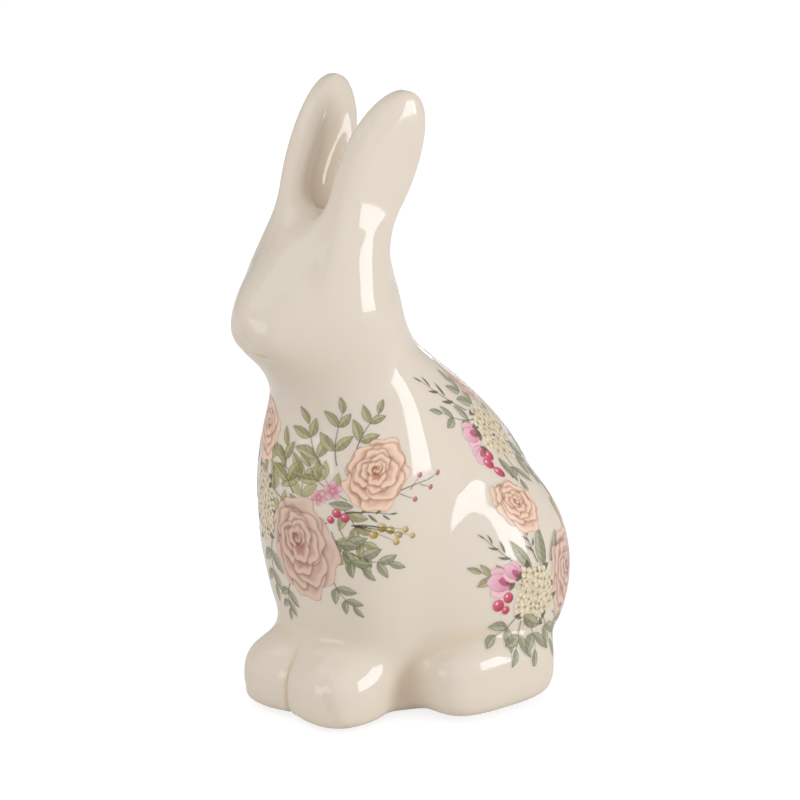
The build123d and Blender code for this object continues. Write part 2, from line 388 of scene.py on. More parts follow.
# %% The path of the rings, from the base to the nose
columns, far = 296, 110.0
ring_turns = np.linspace(0, 2 * np.pi, columns, endpoint=False)
vent_back, vent_radius, vent_pull_height = 12.0, 4.5, 40.0
fan_height, bend_height, nose_height = 22.0, 158.0, 197.0
pivot = np.array([-82.0, bend_height])


def between(height):
    """Midway between the chest and back lines at a height."""
    return (along(chest_line_shares, torso_depth, height) + along(back_line_shares, torso_depth, height)) / 2


def trunk_middle(height):
    """That middle, drawn by a square to the drain hole's place near the first height."""
    middle = between(height)
    low_share = np.clip(1 - (height - height[0]) / vent_pull_height, 0, 1)
    return middle + (vent_back - middle[0]) * low_share**2


trunk_rows, bend_rows = 124, 98
trunk_heights = np.linspace(fan_height, bend_height, trunk_rows)
trunk_y = trunk_middle(trunk_heights)
bend_leans = np.linspace(0, np.pi / 2, bend_rows)[1:]
radius_start, radius_end = trunk_y[-1] - pivot[0], nose_height - pivot[1]
bend_radius = radius_start + (radius_end - radius_start) * np.sin(bend_leans) ** 2
bend_y = pivot[0] + bend_radius * np.cos(bend_leans)
bend_z = pivot[1] + bend_radius * np.sin(bend_leans)
print("the path ends", -bend_y[-1].round(1), "mm forward and", bend_z[-1].round(1), "mm up")

# %% The two fans that close it, and every ring's place, lean and lift
rim_rows, edge_rows, nose_rows = 9, 46, 42
rim_end_lift, edge_start_lift, nose_row_power = -0.62, -0.6, 0.9
rim_lifts = np.linspace(-np.arctan2(fan_height, vent_radius), rim_end_lift, rim_rows)
under_lifts = np.concatenate([rim_lifts, np.linspace(edge_start_lift, 0, edge_rows)[:-1]])
nose_lifts = np.pi / 2 * np.linspace(0, 1, nose_rows)[1:-1] ** nose_row_power


def strung(counts, *parts):
    """One value for each ring: the path's parts in order, where a single value is repeated."""
    return np.concatenate([np.broadcast_to(part, count) for part, count in zip(parts, counts)])


counts = [len(part) for part in (under_lifts, trunk_heights, bend_leans, nose_lifts)]
path_y = strung(counts, vent_back, trunk_y, bend_y, bend_y[-1])
path_z = strung(counts, fan_height, trunk_heights, bend_z, bend_z[-1])
leans = strung(counts, 0, 0, bend_leans, bend_leans[-1])
lifts = strung(counts, under_lifts, 0, 0, nose_lifts)
print("rings:", counts, "in all", sum(counts))

# %% The rings themselves
zeros = np.zeros_like(leans)
middles = np.stack([zeros, path_y, path_z], -1)
fronts = np.stack([zeros, -np.cos(leans), -np.sin(leans)], -1)
sides = np.stack([zeros + 1, zeros, zeros], -1)
ups = np.stack([zeros, -np.sin(leans), np.cos(leans)], -1)
skin = wrapped(grounded, middles, fronts, sides, ups, lifts, ring_turns, far)
last_axes = (middles[-1:], fronts[-1:], sides[-1:], ups[-1:])
nose_tip = wrapped(grounded, *last_axes, np.array([np.pi / 2]), ring_turns[:1], far)[0, 0]
print("skin in mm: from", skin.min((0, 1)).round(1).tolist(), "to", skin.max((0, 1)).round(1).tolist())

# %% [markdown]
# ## The drain hole
# The slip was poured out through a hole in the base, which is also where the air
# leaves in the kiln. It could be cut with a Boolean, which leaves long thin faces
# round the cut. Here the rings simply go on: over the rim of the hole, up through
# the floor and out into a low chamber, so the skin stays one closed surface. The
# chamber is a profile of radius and height, turned round the hole's axis.

# %% The chamber's profile, and the whole body
floor_height, vent_softening, chamber_height = 5.0, 0.6, 33.0
chamber_profile = np.array([
    (6.0, 32.0), (14.0, 29.0), (21.0, 23.0), (26.0, 15.0), (28.0, floor_height), (20.0, floor_height),
    (10.0, floor_height), (vent_radius + vent_softening, floor_height),
    (vent_radius, floor_height - vent_softening), (vent_radius, vent_softening),
])
radii, heights = chamber_profile[:, :1], chamber_profile[:, 1:]
chamber = [radii * np.sin(ring_turns), vent_back - radii * np.cos(ring_turns), heights + 0 * ring_turns]
rings = np.concatenate([np.stack(chamber, -1), skin])
glazed_body = closed_mesh("rabbit_body", rings, (0, vent_back, chamber_height), nose_tip)

# %% The skins of the ears
ear_columns, root_rows, blade_rows, tip_rows = 150, 44, 90, 50
ear_core, ear_far, ear_end_share = 3.0, 60.0, 0.36
ear_turns = np.linspace(0, 2 * np.pi, ear_columns, endpoint=False)
ear_end = ear_end_share * ear_length
root_lifts = -np.pi / 2 * np.linspace(1, 0, root_rows)[1:-1]
tip_lifts = np.pi / 2 * np.linspace(0, 1, tip_rows)[1:-1]


def ear_skin(side):
    """The ear's rings: level rays from a core line, and a fan at each end, mirrored for side -1."""
    counts = (len(root_lifts), blade_rows, len(tip_lifts))
    heights = strung(counts, -ear_end, np.linspace(-ear_end, ear_end, blade_rows), ear_end)
    lifts = strung(counts, root_lifts, 0, tip_lifts)
    ones = np.ones((len(heights), 1))
    core = ear_middle + ear_out * ear_core + heights[:, None] * ear_up
    axes = (ones * ear_across, ones * ear_out, ones * ear_up)
    rings = wrapped(rooted_ear, core, *axes, lifts, ear_turns, ear_far)
    mirror = np.array([side, 1, 1])
    return rings * mirror, rings[0].mean(0) * mirror, rings[-1].mean(0) * mirror


ear_left = closed_mesh("rabbit_ear_left", *ear_skin(1))
ear_right = closed_mesh("rabbit_ear_right", *ear_skin(-1))

# %% [markdown]
# ## Cream glaze
# Glaze is glass melted onto the clay. It is clear and very smooth on top, with
# slow waves that bend a window's reflection, a little cloudy where it lies
# unevenly, and browner in hollows, partly where it ran thick and partly as
# painted shade. A single glossy colour would look like plastic. So the shader's
# coat is the glass, the base under it is the cream clay, noises give the clouds
# and waves, and the hollows are measured on the form itself and stored with each
# point of the mesh, where they turn the cream brown as painted shade.

# %% How hollow the form is at a point, which sets the painted shade in hollows
# how far round a point the hollowness is measured, and how fast it turns into painted shade
normal_reach, pool_and_shade_reach, pool_and_shade_gain = 0.3, 4.0, 5.0
slanted = (0.3, 0.5, 0.8)


def outward(depth, points):
    """Unit normals: the differences of the depth along the three axes, made one long."""
    steps = np.eye(3) * normal_reach
    normals = np.stack([depth(points + step) - depth(points - step) for step in steps], -1)
    return normals / np.linalg.norm(normals, axis=-1, keepdims=True)


def pooled_and_painted_shade(depth, points, normals):
    """How hollow the form is, for the painted shade: how far the mean depth of four points beside falls
    short.
    """
    beside = np.cross(normals, slanted)
    beside /= np.linalg.norm(beside, axis=-1, keepdims=True)
    other = np.cross(normals, beside)
    around = sum(depth(points + pool_and_shade_reach * step) for step in (beside, -beside, other, -other)) / 4
    return np.clip(-around / pool_and_shade_reach * pool_and_shade_gain, 0, 1)


def smooth_form(p):
    """The whole form on the plane of its base, without the seams between its pieces."""
    return common(whole(p)[0], -p[..., 2], base_blend)


def keep_pools_and_painted_shade(piece, pools_and_painted_shade):
    """Stores that hollowness with each point of a piece, where the glaze browns it as painted shade."""
    piece.data.attributes.new("pooled_and_painted_shade", "FLOAT", "POINT").data.foreach_set("value", pools_and_painted_shade)
    print(piece.name, "mean pooling_and_painted_shade", pools_and_painted_shade.mean().round(3))


# %% Short ways to add the nodes that the finishes share
def new_material(name):
    """A node material, with its nodes, its links and its Principled shader."""
    material = bpy.data.materials.new(name)
    material.use_nodes = True
    nodes = material.node_tree.nodes
    return material, nodes, material.node_tree.links, nodes["Principled BSDF"]


def set_sockets(node, values):
    """Sets a node's input sockets by their names."""
    for name, value in values.items():
        node.inputs[name].default_value = value


def noise(nodes, links, place, values):
    """A noise texture at a place, as its grey output."""
    texture = nodes.new("ShaderNodeTexNoise")
    set_sockets(texture, values)
    links.new(place, texture.inputs["Vector"])
    return texture.outputs["Fac"]


def mixed_paints(nodes, links, share, one, other):
    """A mix of two colours, where each is numbers or another node's output."""
    mix = nodes.new("ShaderNodeMix")
    mix.data_type = "RGBA"
    links.new(share, mix.inputs["Factor"])
    for socket, colour in ((mix.inputs["A"], one), (mix.inputs["B"], other)):
        if isinstance(colour, tuple):
            socket.default_value = colour
        else:
            links.new(colour, socket)
    return mix.outputs["Result"]


def bumped(nodes, links, height, strength, distance):
    """Normals bent by a height between zero and one, over a distance in metres."""
    bump = nodes.new("ShaderNodeBump")
    set_sockets(bump, {"Strength": strength, "Distance": distance})
    links.new(height, bump.inputs["Height"])
    return bump.outputs["Normal"]


# %% The glaze
glaze_cream, glaze_thin = (0.80, 0.735, 0.645, 1), (0.815, 0.75, 0.665, 1)
# the brown of hollows: partly thick glaze, partly painted shade
glaze_pool_and_painted_shade, glass_tint = (0.70, 0.575, 0.42, 1), (0.97, 0.925, 0.87, 1)
clay = {"Roughness": 0.42, "Specular IOR Level": 0.05}
clouds, waves = {"Scale": 22.0, "Detail": 3.0}, {"Scale": 60.0, "Detail": 1.0}
wave_strength, wave_height = 0.35, 0.0004


def glazed(name, coat_weight, coat_roughness):
    """A clear glossy coat on cream: cloudy where it lies unevenly, browner in hollows, partly thick glaze and
    partly painted shade.
    """
    material, nodes, links, shader = new_material(name)
    set_sockets(shader, clay)
    set_sockets(shader, {"Coat Weight": coat_weight, "Coat Roughness": coat_roughness})
    set_sockets(shader, {"Coat IOR": 1.42, "Coat Tint": glass_tint})
    place = nodes.new("ShaderNodeTexCoord").outputs["Object"]
    cloudy = mixed_paints(nodes, links, noise(nodes, links, place, clouds), glaze_cream, glaze_thin)
    # the hollowness mixes the cream towards that brown: painted shade in hollows
    pools_and_painted_shade = nodes.new("ShaderNodeAttribute")
    pools_and_painted_shade.attribute_name = "pooled_and_painted_shade"
    cream = mixed_paints(nodes, links, pools_and_painted_shade.outputs["Fac"], cloudy, glaze_pool_and_painted_shade)
    links.new(cream, shader.inputs["Base Color"])
    normal = bumped(nodes, links, noise(nodes, links, place, waves), wave_strength, wave_height)
    links.new(normal, shader.inputs["Normal"])
    links.new(normal, shader.inputs["Coat Normal"])
    return material, nodes, links, shader, cream


# %% The three glazed pieces, each in place of its node
glaze = glazed("cream_glaze", coat_weight=1.0, coat_roughness=0.05)[0]
for piece, node in ((glazed_body, "body_casting"), (ear_left, "ear_left"), (ear_right, "ear_right")):
    places = np.empty(len(piece.data.vertices) * 3)
    piece.data.vertices.foreach_get("co", places)
    points = places.reshape(-1, 3) / mm - form_place
    # each point's hollowness, for the painted shade in hollows
    keep_pools_and_painted_shade(piece, pooled_and_painted_shade(smooth_form, points, outward(smooth_form, points)))
    piece.data.materials.append(glaze)
    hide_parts(node)
    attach(piece, "root")

# %% [markdown]
# ## Printed flowers
# The flowers on such a piece are transfers: a printer lays the colours on paper
# under a film of lacquer, the decorator soaks the film off in water, slides it
# onto the glaze, presses it smooth with a rubber and fires it on. An image file
# would be the short way, but here each flower is drawn by formulas, so the lesson
# can be followed petal by petal. First the paper: two arrays, one for colour
# and one for cover, that every stroke is laid over.

# %% A blank transfer, and how paint is laid on it
canvas_step, glaze_share = 0.18, 0.97


def paint(red, green, blue):
    """A colour as it looks on the fired piece, 0 to 255, made linear light by the sRGB curve."""
    seen = np.array([red, green, blue]) / 255
    return np.where(seen > 0.04045, ((seen + 0.055) / 1.055) ** 2.4, seen / 12.92) / glaze_share


class Transfer:
    """A sheet of print: across runs from left to right, up is the height, both in millimetres."""

    def __init__(self, left, right, low, high):
        self.left, self.low = left, low
        self.across = np.arange(left, right, canvas_step)
        self.up = np.arange(low, high, canvas_step)
        self.colour = np.zeros((len(self.up), len(self.across), 3))
        self.cover = np.zeros((len(self.up), len(self.across)))

    def near(self, centre, reach):
        """The part of the sheet round a place, with its distances right and up from there."""
        ends = np.array([-reach, reach])
        column = ((centre[0] - self.left + ends) / canvas_step).astype(int)
        row = ((centre[1] - self.low + ends) / canvas_step).astype(int)
        part = (slice(*row.clip(0, len(self.up))), slice(*column.clip(0, len(self.across))))
        return part, self.across[None, part[1]] - centre[0], self.up[part[0], None] - centre[1]

    def lay(self, part, cover, colour):
        """Colour over what is there: new times cover, plus old times what the cover leaves."""
        self.colour[part] += cover[..., None] * (colour - self.colour[part])
        self.cover[part] += cover * (1 - self.cover[part])

    def shade(self, part, cover, colour):
        """Colour laid only where there is paint already, for the shadows between petals."""
        self.lay(part, cover * self.cover[part], colour)


print("a transfer has", round(1 / canvas_step**2), "points on a square millimetre")

# %% Soft edges, mixed colours, lines round a rim, and a turned pair of axes
def soft(depth, edge=0.22):
    """One inside a shape and zero outside it, with a smooth step as wide as the edge."""
    t = np.clip(depth / edge + 0.5, 0, 1)
    return t * t * (3 - 2 * t)


def mixed(one, other, share):
    """Two colours mixed at each point."""
    return one + (other - one) * np.clip(share, 0, 1)[..., None]


def rimmed(colour, line, depth, strength, width, edge):
    """A colour with a line along the inside of a shape's rim."""
    return mixed(colour, line, strength * soft(width - depth, edge))


def turned(right, up, heading):
    """Distances along a heading in degrees, counted from the right, and to its left."""
    c, s = cosine_and_sine(heading)
    return right * c + up * s, up * c - right * s


# %% [markdown]
# ## Leaves and berries
# On the print a leaf is two tones of green beside a midrib, with fine side veins
# and a thin dark outline, and a berry is a ball with a glint. They could be drawn
# as outlines and filled, as an illustrator does. Here each is a depth again, but
# above zero inside, and it is shaded by where a point lies in it.

# %% Stems
paper_margin, stem_taper_share = 2.0, 0.5


def bowed(bow, share):
    """How far a parabola through both ends of a run stands off it at a share of the run."""
    return 4 * bow * share * (1 - share)


def stem(sheet, start, end, width, colour, bow=0.0):
    """A curved stroke: a parabola through both ends, thinner towards the second."""
    run = np.hypot(end[0] - start[0], end[1] - start[1])
    heading = np.degrees(np.arctan2(end[1] - start[1], end[0] - start[0]))
    part, right, up = sheet.near(start, run + paper_margin + abs(bow))
    along_run, aside = turned(right, up, heading)
    share = np.clip(along_run / run, 0, 1)
    off_end = np.maximum(np.abs(along_run - run / 2) - run / 2, 0)
    depth = width * (1 - stem_taper_share * share) / 2 - np.hypot(aside - bowed(bow, share), off_end)
    sheet.lay(part, soft(depth), colour * np.ones(depth.shape + (3,)))


# %% Leaves: how they bend, where they catch the light, and their veins
leaf_bow_share, leaf_skew, leaf_point = 0.06, 0.85, 0.85
leaf_base_tone, leaf_half_tone, leaf_tip_tone, mottle_tone, mottle_waves = 0.30, 0.45, 0.25, 0.12, (1.9, 1.3)
vein_slant, vein_gap_share, vein_width, vein_edge, vein_strength = 0.7, 0.16, 0.07, 0.2, 0.38


def leaf(sheet, base, length, width, heading, dark, light, line, strength=0.88):
    """A pointed oval: half width times a skewed sine, with a midrib, side veins and a dark rim."""
    part, right, up = sheet.near(base, length + paper_margin)
    u, v = turned(right, up, heading)
    share = np.clip(u / length, 0, 1)
    v = v - bowed(length * leaf_bow_share * np.sin(3 * heading), share)
    half = width / 2 * np.sin(np.pi * share**leaf_skew) ** leaf_point
    depth = np.where((u > 0) & (u < length), half - np.abs(v), -1)
    mottle = mottle_tone * np.sin(right * mottle_waves[0] + up * mottle_waves[1])
    tone = leaf_base_tone + leaf_half_tone * (v > 0) + leaf_tip_tone * share + mottle
    vein = np.cos(2 * np.pi * (u - vein_slant * np.abs(v)) / (length * vein_gap_share))
    colour = mixed(mixed(dark, light, tone), line, vein_strength * soft(vein - 1 + vein_width, vein_edge))
    colour = rimmed(colour, line, np.abs(v), strength=0.75, width=0.13, edge=0.2)
    colour = rimmed(colour, line, depth, strength=0.80, width=0.32, edge=0.35)
    sheet.lay(part, soft(depth) * strength, colour)


# %% Sprigs: each leaf of a pair has a length, a width, an angle and its change to the tip
sprig_stem_width, first_pair, last_gap = 0.55, 0.6, 0.2
pair_size, pair_taper = 1.22, 0.3
pair_shares = ((1.0, 0.46, 52, -12), (0.9, 0.42, -48, 10))
end_length_share, end_width_share, end_turn = 0.8, 0.34, -30


def sprig(sheet, start, heading, length, pairs, size, dark, light, line, bow):
    """A stem with leaves on both sides and one at its end, each smaller than the last."""
    c, s = cosine_and_sine(heading)
    end = (start[0] + length * c, start[1] + length * s)
    stem(sheet, start, end, sprig_stem_width, line, bow * length)
    for step in range(pairs):
        share = (step + first_pair) / (pairs + last_gap)
        lift = bowed(bow * length, share)
        spot = (start[0] + share * length * c - lift * s, start[1] + share * length * s + lift * c)
        grown = pair_size * size * (1 - pair_taper * share)
        for long, wide, angle, change in pair_shares:
            leaf(sheet, spot, grown * long, grown * wide, heading + angle + change * share, dark, light, line)
    end_heading = heading + end_turn * bow
    leaf(sheet, end, size * end_length_share, size * end_width_share, end_heading, dark, light, line)


def sprigs(sheet, green, rows, bow=0.1):
    """Sprigs of one green: a row is a start, a heading, a length, pairs of leaves and their size."""
    for start, heading, length, pairs, size in rows:
        sprig(sheet, start, heading, length, pairs, size, *green, bow)


# %% Berries: their middle tone, the light from the upper left, and the glint
berry_tone, berry_contrast, lit_right, lit_up = 0.55, 0.5, -0.6, 0.8
glint_right_share, glint_up_share, glint_size_share, glint_strength = -0.3, 0.35, 0.2, 0.7


def berry(sheet, centre, radius, dark, light, line):
    """A ball: lighter towards the upper left, with a small glint and a dark rim."""
    part, right, up = sheet.near(centre, radius + 1)
    r = np.hypot(right, up)
    tone = berry_tone + berry_contrast * (right * lit_right + up * lit_up) / radius
    colour = rimmed(mixed(dark, light, tone), line, radius - r, strength=0.55, width=0.25, edge=0.4)
    from_glint = np.hypot(right - radius * glint_right_share, up - radius * glint_up_share)
    glint = glint_strength * soft(radius * glint_size_share - from_glint)
    sheet.lay(part, soft(radius - r), mixed(colour, np.ones(3), glint))


def berries(sheet, tints, rows):
    """Berries of one colour: a row is a place to the right, a height and a radius."""
    for right, up, radius in rows:
        berry(sheet, (right, up), radius, *tints)


# %% Twigs: where the side shoots leave, how they turn, and how they get shorter
shoot_turns = (38, -40, 34, -36, 4)
twig_width, shoot_width, twig_bow_share = 0.7, 0.42, 0.05
first_shoot_share, shoot_gap_share = 0.32, 0.17
shoot_length_share, shoot_loss_share = 0.30, 0.03
bud_dark, bud_light, narrow_light, narrow_length_share, narrow_width_share = 0.8, 1.15, 1.3, 1.15, 0.28


def twig(sheet, start, heading, length, colour, bud, bud_radius=0.0):
    """A dark stem with short side shoots, each with a bud or a narrow leaf at its end."""
    c, s = cosine_and_sine(heading)
    end = (start[0] + length * c, start[1] + length * s)
    stem(sheet, start, end, twig_width, colour, twig_bow_share * length)
    for step, side in enumerate(shoot_turns):
        share = first_shoot_share + shoot_gap_share * step
        spot = (start[0] + share * length * c, start[1] + share * length * s)
        shoot = length * (shoot_length_share - shoot_loss_share * step)
        shoot_c, shoot_s = cosine_and_sine(heading + side)
        tip = (spot[0] + shoot * shoot_c, spot[1] + shoot * shoot_s)
        if bud_radius:
            stem(sheet, spot, tip, shoot_width, colour)
            berry(sheet, tip, bud_radius, bud * bud_dark, bud * bud_light, colour)
        else:
            sizes = (shoot * narrow_length_share, shoot * narrow_width_share)
            leaf(sheet, spot, *sizes, heading + side, bud * bud_dark, bud * narrow_light, colour)


# %% [markdown]
# ## Petals and roses
# A printed rose is rings of petals that lie over each other, pale at the edge and
# shadowed where the next one starts, with a tight curl in the middle. A spiral of
# copies would look stamped. So the rings are laid from the outside in, each petal
# is drawn with its own chances of width and place from a fixed seed, and it drops
# a soft shadow on the ones below.

# %% Petals: their outline, how pale they get, and the streaks along them
petal_skew, petal_blunt = 1.25, 0.6
base_paleness, tip_paleness, paleness_power, petal_side_shade = 0.15, 0.9, 0.8, 0.3
streak_tone, streaks_across = 0.10, 22


def petal(sheet, base, length, width, heading, dark, light, line):
    """A rounded tongue from a base: half width times a sine to a low power, paler to its tip."""
    part, right, up = sheet.near(base, length + paper_margin)
    u, v = turned(right, up, heading)
    share = np.clip(u / length, 0, 1)
    half = width / 2 * np.sin(np.pi * share**petal_skew) ** petal_blunt
    depth = np.where((u > 0) & (u < length), half - np.abs(v), -1)
    streaks = streak_tone * np.cos(v / width * streaks_across) * (1 - share)
    paleness = share**paleness_power * tip_paleness + base_paleness
    colour = mixed(dark, light, paleness - petal_side_shade * (v / width) + streaks)
    sheet.lay(part, soft(depth), rimmed(colour, line, depth, strength=0.6, width=0.22, edge=0.3))


# %% Roses: each ring's size, number of petals and narrowness, and how petals vary
rose_rings = ((1.0, 5, 0.54), (0.82, 4, 0.62), (0.62, 4, 0.66), (0.43, 3, 0.86), (0.27, 2, 1.1))
ring_twist, turn_chance, reach_chance = 2.4, 0.16, (0.92, 1.06)
petal_overlap, rim_power, petal_room_share, least_reach = 2.3, 0.36, 1.15, 0.01
sway, sway_wave, frill_share, frills = 0.16, 0.5, 0.05, 9
ripple_tone, ripples, ripple_wave, ripple_slant = 0.05, 14, 1.3, 3
inner_tone, outer_tone, outer_power, ring_tone, middle_ring_share = 0.10, 0.80, 1.7, 0.55, 0.62
side_tone, side_turn, chance_tone = 0.18, 0.9, 0.10
lit_edge = dict(bright=1.12, strength=0.85, inset=1.2, softness=1.8)
shadow = dict(share=0.09, least=0.5, strength=0.55)
curl = dict(reach_share=0.28, size_share=0.2, turns=34, edge=1.0, least=0.55, softness=0.5, strength=0.75)


def rose(sheet, centre, radius, dark, light, line, tall, lean, seed):
    """Rings of petals from the outside in: each reach is a low power of a cosine of the turn."""
    chance = np.random.default_rng(seed)
    for ring, (size, count, spread) in enumerate(rose_rings):
        drift = radius * (1 - size)
        middle = (centre[0] + lean[0] * drift, centre[1] + lean[1] * drift * tall)
        for step in range(count):
            turn = 2 * np.pi * (step + chance.uniform(-turn_chance, turn_chance)) / count + ring * ring_twist
            reach = radius * size * chance.uniform(*reach_chance)
            room = reach * max(tall, 1) * petal_room_share + paper_margin
            part, right, up = sheet.near(middle, room)
            up = up / tall
            r = np.hypot(right, up)
            aside = (np.arctan2(up, right) - turn + np.pi) % (2 * np.pi) - np.pi
            aside = aside + sway * np.sin(r * sway_wave + seed + step)
            fan = aside * spread * count / petal_overlap
            bend = np.clip(np.cos(fan), 0, 1) * (np.abs(fan) < np.pi / 2)
            limit = reach * bend**rim_power * (1 + frill_share * np.cos(aside * frills + step + ring))
            depth = limit - r
            ripple = np.sin(aside * ripples + step * 2) + np.sin(r * ripple_wave + ripple_slant * aside)
            tone = inner_tone + outer_tone * np.clip(r / np.maximum(limit, least_reach), 0, 1) ** outer_power
            side = side_tone * np.sin(turn + side_turn) + chance_tone * chance.uniform(-1, 1)
            tone = tone + ripple_tone * ripple + side + ring_tone * (size - middle_ring_share)
            edge = soft(lit_edge["inset"] - np.abs(depth - lit_edge["inset"]), lit_edge["softness"])
            colour = mixed(mixed(dark, light, tone), light * lit_edge["bright"], lit_edge["strength"] * edge)
            colour = rimmed(colour, line, depth, strength=0.62, width=0.24, edge=0.34)
            fall = np.clip(1 + depth / (shadow["share"] * radius + shadow["least"]), 0, 1) ** 2
            sheet.shade(part, shadow["strength"] * fall * (depth < 0) * (bend > 0), line)
            sheet.lay(part, soft(depth), colour)
    part, right, up = sheet.near(middle, radius * curl["reach_share"])
    r = np.hypot(right, up / tall)
    spiral = np.cos(np.arctan2(up, right) - r / radius * curl["turns"])
    core = soft(radius * curl["size_share"] - r, curl["edge"])
    sheet.shade(part, curl["strength"] * core * soft(spiral - curl["least"], curl["softness"]), line)


# %% [markdown]
# ## Small flowers
# The cream heads are dozens of tiny four-petalled flowers, the pink ones have
# five petals, and the buds are half open. A particle system could scatter them,
# but it would leave clumps and gaps. A sunflower's spiral spaces them evenly, and
# laying them in a shuffled order hides the spiral.

# %% Blossoms: how deep the notches go, how they are toned, the creases and the heart
notch_share, lobe_power, heart_share = 0.42, 0.6, 0.15
blossom_tone, blossom_rise, lobe_rise = -0.15, 1.1, 0.2
petal_crease = dict(width=0.12, edge=0.1, strength=0.35, start_share=0.2)


def blossom(sheet, centre, radius, count, dark, light, line, heart, turn):
    """Round petals about a middle: the reach is a low power of a cosine repeated round it."""
    part, right, up = sheet.near(centre, radius + 1)
    r = np.hypot(right, up)
    wave = np.abs(np.cos((np.arctan2(up, right) - np.radians(turn)) * count / 2))
    depth = radius * (notch_share + (1 - notch_share) * wave**lobe_power) - r
    colour = mixed(dark, light, blossom_tone + blossom_rise * r / radius + lobe_rise * wave)
    colour = rimmed(colour, line, depth, strength=0.65, width=0.2, edge=0.35)
    crease = petal_crease["strength"] * soft(petal_crease["width"] - wave, petal_crease["edge"])
    colour = mixed(colour, line, crease * (r > radius * petal_crease["start_share"]))
    colour = rimmed(colour, heart, r, strength=0.8, width=radius * heart_share, edge=0.3)
    sheet.lay(part, soft(depth), colour)


# %% Cream heads: the spiral's angle, the leaves behind, and how the flowers vary
golden_angle = 2.39996
head_leaf_length, head_leaf_width, head_leaf_strength = 6.5, 3.2, 0.9
head_leaf_light, head_leaf_line = 1.9, 0.5
glow_chance, size_chance, head_petals = (0.9, 1.07), (2.7, 3.6), 4


def cluster(sheet, centre, half_sizes, count, tints, seed):
    """Small four-petalled flowers on a sunflower's spiral, over a dark ground of leaves."""
    chance = np.random.default_rng(seed)
    dark, light, line, heart, ground = tints
    order = chance.permutation(count)
    reach = np.sqrt((np.arange(count) + 0.5) / count)[order]
    turn = (np.arange(count) * golden_angle)[order]
    right = centre[0] + half_sizes[0] * reach * np.cos(turn)
    up = centre[1] + half_sizes[1] * reach * np.sin(turn)
    leaf_paints = (ground, ground * head_leaf_light, ground * head_leaf_line)
    for spot in zip(right, up):
        turn = chance.uniform(0, 360)
        leaf(sheet, spot, head_leaf_length, head_leaf_width, turn, *leaf_paints, head_leaf_strength)
    for spot in zip(right, up):
        glow = chance.uniform(*glow_chance)
        size = chance.uniform(*size_chance)
        turn = chance.uniform(0, 90)
        blossom(sheet, spot, size, head_petals, dark * glow, light * glow, line, heart, turn)


# %% Buds: each petal's length, width and turn, and the cup they sit in
bud_shares = ((0.95, 0.55, 24), (0.92, 0.52, -25), (1.0, 0.62, 0), (0.6, 0.3, -6))
bud_pale, bud_deep = 1.08, 0.85
cup_turns, cup_length_share, cup_width_share = (-48, 0, 48), 0.36, 0.16
cup_dark, cup_line = 0.8, 0.5


def tulip(sheet, base, length, heading, tints, green):
    """A half-open bud: a petal either side and one in front, on a short green cup."""
    dark, light, line = tints
    petal_paints = ((light, light * bud_pale), (dark, light), (dark, light), (dark * bud_deep, dark))
    for (long, wide, turn), (deep, pale) in zip(bud_shares, petal_paints):
        petal(sheet, base, length * long, length * wide, heading + turn, deep, pale, line)
    cup_paints = (green * cup_dark, green, green * cup_line)
    for turn in cup_turns:
        leaf(sheet, base, length * cup_length_share, length * cup_width_share, heading + turn, *cup_paints)


# %% [markdown]
# ## Paints and sprays
# A printer mixes a few colours and prints the sprays with them, from the back to
# the front. Each paint is written as it looks on the fired piece and turned into
# the shader's linear light. Each spray could be an image of its own, but as a
# list of starts, headings and lengths in millimetres it can be moved and thinned
# out: first the leaves, then the flowers that lie on them.

# %% The paints: deep, light and outline of each
def paints(*colours):
    """Several paints, each from its red, green and blue."""
    return tuple(paint(*colour) for colour in colours)


peach = paints((192, 134, 106), (233, 202, 180), (136, 84, 64))
dusty_pink = paints((182, 132, 118), (218, 190, 174), (128, 92, 82))
olive = paints((118, 112, 70), (190, 184, 136), (70, 64, 42))
sage = paints((108, 110, 84), (178, 178, 146), (56, 56, 46))
mauve = paints((194, 100, 132), (236, 190, 202), (140, 68, 92))
gold = paints((160, 120, 58), (222, 202, 136), (116, 88, 48))
ground_green, bark = paints((84, 78, 54), (80, 64, 54))
cream_head = (*paints((202, 182, 146), (240, 228, 204), (112, 96, 66)), bark, ground_green)
berry_red = (*paints((170, 52, 78), (226, 112, 134)), mauve[2])
pale_olive = (olive[1] * 0.8, olive[1], olive[0])
shaded_green = (ground_green, sage[1], sage[2])
print("peach in linear light:", peach[1].round(3).tolist())


def sprayed(spray, left, right, low, high):
    """A sheet of print with one spray on it."""
    sheet = Transfer(left, right, low, high)
    spray(sheet)
    print(spray.__name__, "covers", round(100 * (sheet.cover > 0.5).mean()), "per cent of its sheet")
    return sheet


# %% The chest
gold_berries = (
    (50, 99, 2.3), (54, 97.5, 2.0), (58, 95, 1.9), (61.5, 97, 1.6), (46, 96, 2.2),
    (56.5, 91.5, 1.6), (65, 93.5, 1.4),
)


